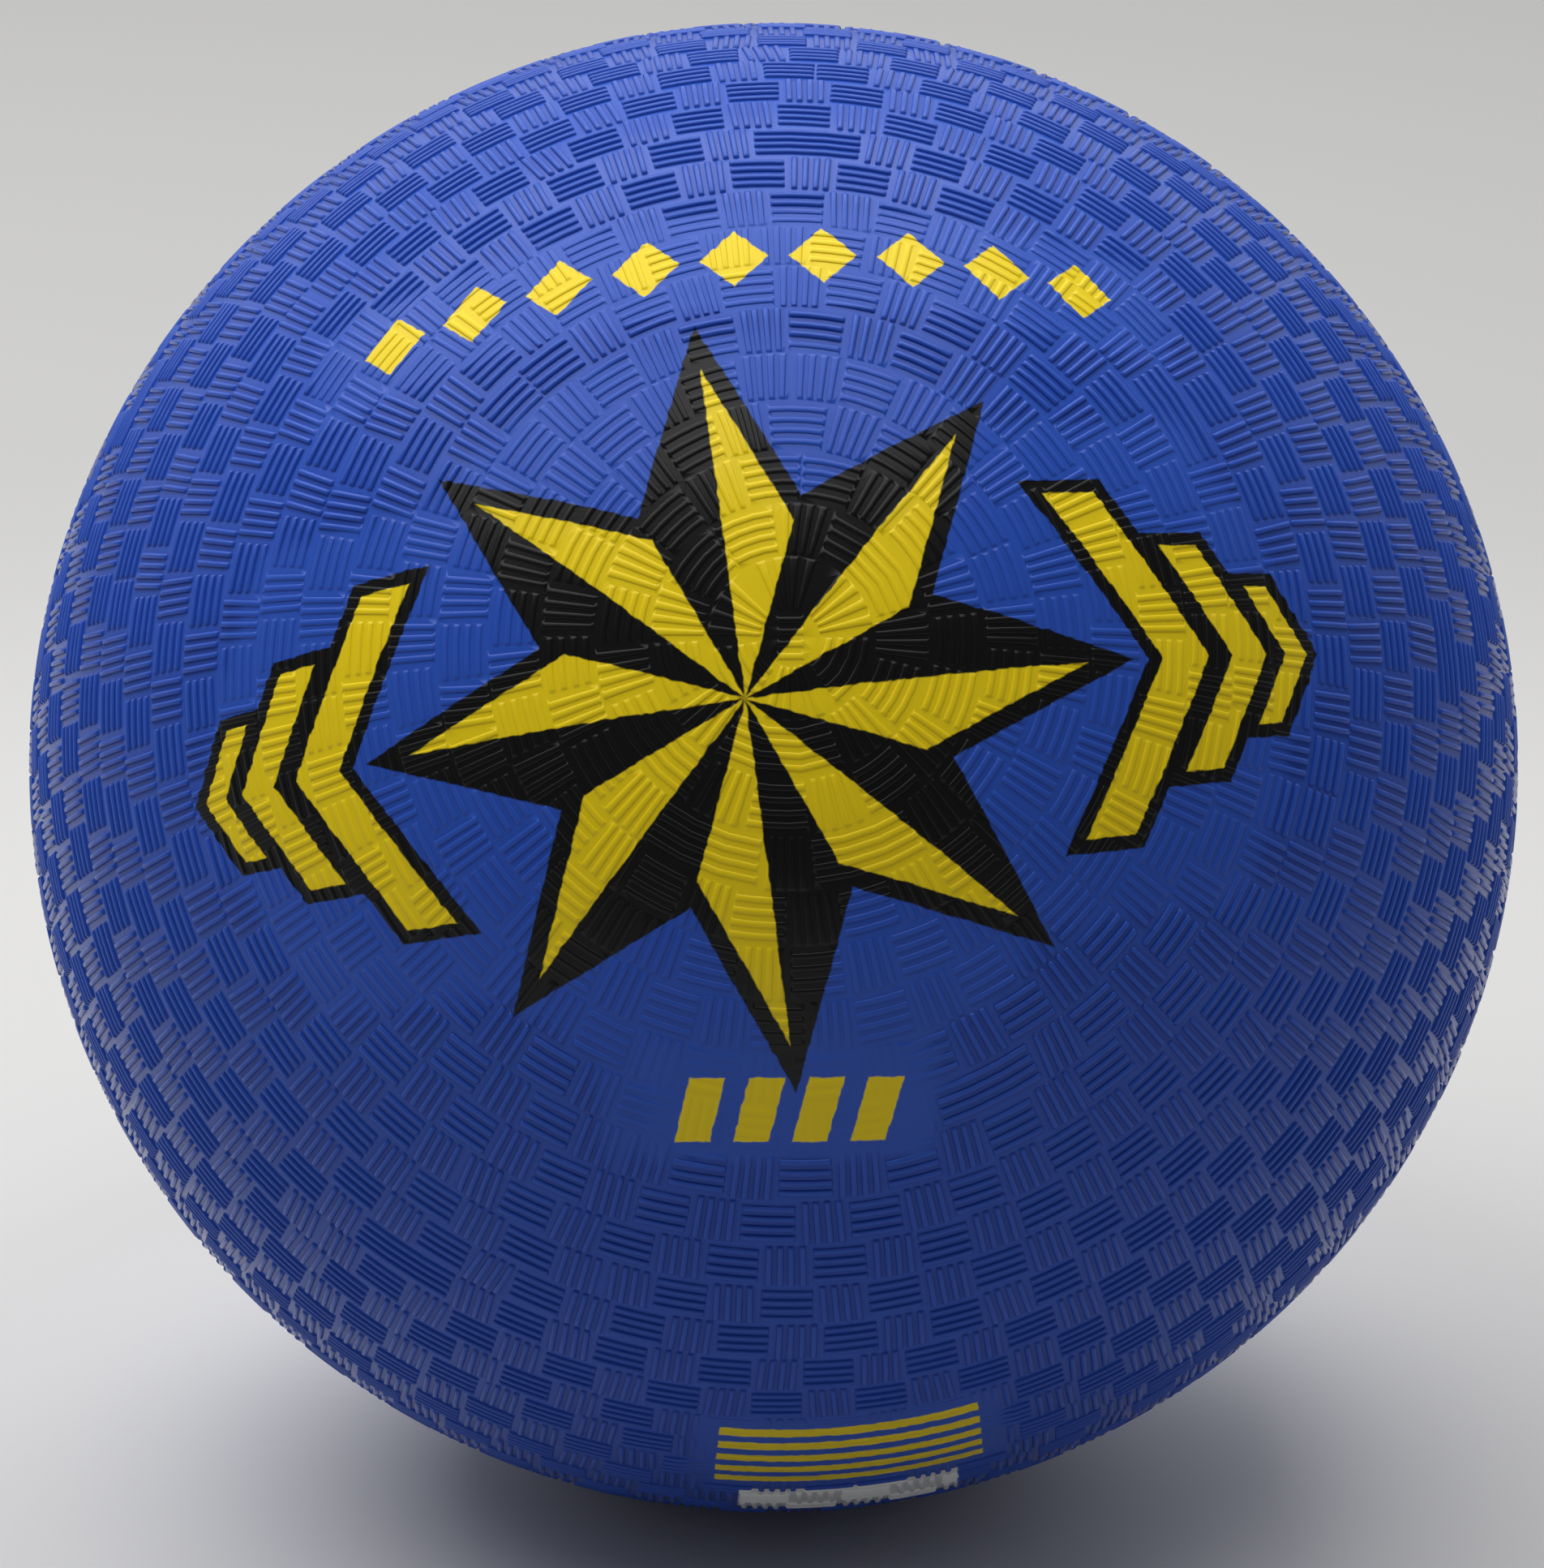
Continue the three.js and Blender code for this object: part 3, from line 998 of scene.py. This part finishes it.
# A deep blue that paints shade into the ground between the ribs
BLUE_PAINTED_SHADE = (0.008, 0.028, 0.20, 1)
YELLOW = (0.87, 0.655, 0.010, 1)
BLACK = (0.005, 0.005, 0.005, 1)
WHITE = (0.86, 0.86, 0.85, 1)
CLOUD_SCALE, GRAIN_SCALE = 28.0, 1700.0
BLOOM_START, BLOOM_GAIN = 0.42, 2.2
# How far the painted shade darkens the ground between the ribs
PAINTED_CORNER_SHADE = 0.26
ROUGH, ROUGH_CLOUD, ROUGH_INK = 0.20, 0.08, 0.05
INK_EDGE, FINE_EDGE = 0.22, 0.12  # width of the edge of the ink, in millimetres and in degrees
GRAIN_STRENGTH, GRAIN_DEPTH = 0.12, 0.0001
SPECULAR = 0.20


def cover_finish(name, printed):
    material, wire, shader = new_finish(name)
    solid = wire.add("TexCoord", output="Object")
    sockets = {"Vector": solid, "Scale": CLOUD_SCALE, "Detail": 4.0, "Roughness": 0.6}
    cloud = wire.add("TexNoise", None, sockets)
    grain = wire.add("TexNoise", None, {"Vector": solid, "Scale": GRAIN_SCALE, "Detail": 2.0})
    painted_shade = wire.add("Attribute", {"attribute_name": "painted_shade"}, output="Fac")
    bloom = ((cloud - BLOOM_START) * BLOOM_GAIN).clamp()
    colour = bloom.mix(BLUE, BLUE_BLOOM)
    # Painted shade: the ground between the ribs is darkened towards a deep blue
    colour = (painted_shade * PAINTED_CORNER_SHADE).mix(colour, BLUE_PAINTED_SHADE)
    rough = ROUGH + cloud * ROUGH_CLOUD
    if printed:
        yellow, black, white, lines = draw_print(wire)
        ink_black, ink_yellow = black.inside(INK_EDGE), yellow.inside(INK_EDGE)
        ink_lines, ink_white = lines.inside(FINE_EDGE), white.inside(FINE_EDGE)
        colour = ink_black.mix(colour, BLACK)
        colour = ink_yellow.math("MAXIMUM", ink_lines).mix(colour, YELLOW)
        colour = ink_white.mix(colour, WHITE)
        ink = ink_black.math("MAXIMUM", ink_yellow).math("MAXIMUM", ink_lines)
        rough = rough + ink * ROUGH_INK
    feed(colour, shader["Base Color"])
    feed(rough, shader["Roughness"])
    bump = wire.add("Bump", None, {"Strength": GRAIN_STRENGTH, "Distance": GRAIN_DEPTH, "Height": grain})
    feed(bump, shader["Normal"])
    shader["Specular IOR Level"].default_value = SPECULAR
    return material


front_cover.data.materials.append(cover_finish("cover_rubber_printed", True))
rear_cover.data.materials.append(cover_finish("cover_rubber_plain", False))
print("cover finishes made")

# %% [markdown]
# ## The valve's core
# The core is a soft plug with a wide head, a stem, and a narrow hole for an inflating needle. It is a
# turned shape, so a profile spun round the valve's axis makes it: Blender's spin is a lathe for meshes.

# %% Spin the valve's core
CORE_PROFILE = (  # distance from the axis, and height over the head's face
    (0.0, -9.0),
    (0.5, -8.9),
    (0.8, -8.4),
    (0.8, -0.9),
    (0.92, -0.5),
    (1.2, -0.22),
    (1.6, -0.06),
    (1.95, 0.0),
    (3.1, 0.0),
    (3.45, -0.07),
    (3.64, -0.24),
    (3.7, -0.5),
    (3.7, -3.0),
    (3.6, -3.2),
    (2.9, -3.24),
    (2.7, -3.5),
    (2.7, -18.7),
    (2.4, -19.0),
    (0.0, -19.0),
)
CORE_SIDES = 64
core_mesh = bmesh.new()
rail = [core_mesh.verts.new((away * MM, 0, high * MM)) for away, high in CORE_PROFILE]
edges = [core_mesh.edges.new(pair) for pair in zip(rail, rail[1:])]
bmesh.ops.spin(
    core_mesh, geom=rail + edges, axis=(0, 0, 1), cent=(0, 0, 0), angle=FULL_TURN, steps=CORE_SIDES
)
bmesh.ops.remove_doubles(core_mesh, verts=core_mesh.verts, dist=1e-7)
bmesh.ops.recalc_face_normals(core_mesh, faces=core_mesh.faces)
for face in core_mesh.faces:
    face.smooth = True
stand = Vector(VALVE_AXIS).to_track_quat("Z", "Y").to_matrix().to_4x4()
core_mesh.transform(Matrix.Translation(Vector(CENTRE + VALVE_FACE * VALVE_AXIS)) @ stand)
core_data = bpy.data.meshes.new("valve_core_plug")
core_mesh.to_mesh(core_data)
core_mesh.free()
valve_core = bpy.data.objects.new("valve_core_plug", core_data)
bpy.context.scene.collection.objects.link(valve_core)
print("valve core:", len(core_data.polygons), "faces")

# %% [markdown]
# ## Finishes of the pieces inside
# Nothing inside the cover shows, but a part that is taken apart should still look right. The yarn is fine
# thread wound in every direction, which three sets of crossing waves give. A curve for every thread would
# be truer, but far too heavy. The bladder, the patch and the valve are dark rubbers with different
# grains.

# %% Make the inner finishes
YARN_DARK, YARN_PALE, YARN_SCALE = (0.42, 0.38, 0.30, 1), (0.80, 0.76, 0.66, 1), 260.0
YARN_WAYS = ((0.2, 0.4, 0.0), (1.3, 0.1, 0.9), (0.6, 1.2, 2.1))
GRAIN_FINER, CLOUD_ROUGHER = 30.0, 0.15  # the grain's scale over the clouds', and their hold on roughness
RUBBERS = {  # dark colour, pale colour, scale of its clouds and roughness
    "bladder_rubber": ((0.010, 0.010, 0.011, 1), (0.022, 0.022, 0.024, 1), 40.0, 0.42),
    "patch_rubber": ((0.03, 0.03, 0.032, 1), (0.055, 0.055, 0.06, 1), 90.0, 0.6),
    "valve_rubber": ((0.008, 0.008, 0.009, 1), (0.018, 0.018, 0.02, 1), 150.0, 0.4),
}


def yarn_finish():
    material, wire, shader = new_finish("winding_yarn")
    solid = wire.add("TexCoord", output="Object")
    height = None
    for turn in YARN_WAYS:
        turned = wire.add("Mapping", None, {"Vector": solid, "Rotation": turn})
        sockets = {"Vector": turned, "Scale": YARN_SCALE, "Distortion": 0.6, "Detail": 1.0}
        thread = wire.add("TexWave", {"wave_type": "BANDS"}, sockets, output="Fac")
        height = thread if height is None else height.math("MAXIMUM", thread)
    feed(height.mix(YARN_DARK, YARN_PALE), shader["Base Color"])
    feed(wire.add("Bump", None, {"Strength": 0.6, "Distance": 0.0003, "Height": height}), shader["Normal"])
    shader["Roughness"].default_value = 0.85
    return material


def rubber_finish(name, dark, pale, scale, rough):
    material, wire, shader = new_finish(name)
    solid = wire.add("TexCoord", output="Object")
    cloud = wire.add("TexNoise", None, {"Vector": solid, "Scale": scale, "Detail": 3.0})
    grain = wire.add("TexNoise", None, {"Vector": solid, "Scale": scale * GRAIN_FINER, "Detail": 2.0})
    feed(cloud.mix(dark, pale), shader["Base Color"])
    feed(rough + cloud * CLOUD_ROUGHER, shader["Roughness"])
    feed(wire.add("Bump", None, {"Strength": 0.25, "Distance": 0.0002, "Height": grain}), shader["Normal"])
    return material


def refinish(node, material):
    node.data.materials.clear()
    node.data.materials.append(material)


nodes = frame["nodes"]
rubbers = {name: rubber_finish(name, *look) for name, look in RUBBERS.items()}
refinish(nodes["yarn_winding"], yarn_finish())
refinish(nodes["bladder"], rubbers["bladder_rubber"])
refinish(nodes["valve_patch"], rubbers["patch_rubber"])
refinish(nodes["valve_housing"], rubbers["valve_rubber"])
valve_core.data.materials.append(rubbers["valve_rubber"])
print("inner finishes made")

# %% [markdown]
# ## Tying the pieces to the frame
# Each new piece rides on the ball's one body, and the part of the imported model that it replaces is
# hidden.

# %% Ride and replace
for piece, node, slot in (
    (front_cover, "front_cover", "cover_rubber"),
    (rear_cover, "rear_cover", "cover_rubber"),
    (valve_core, "valve_core", "valve_rubber"),
):
    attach(piece, "root")
    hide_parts(node)
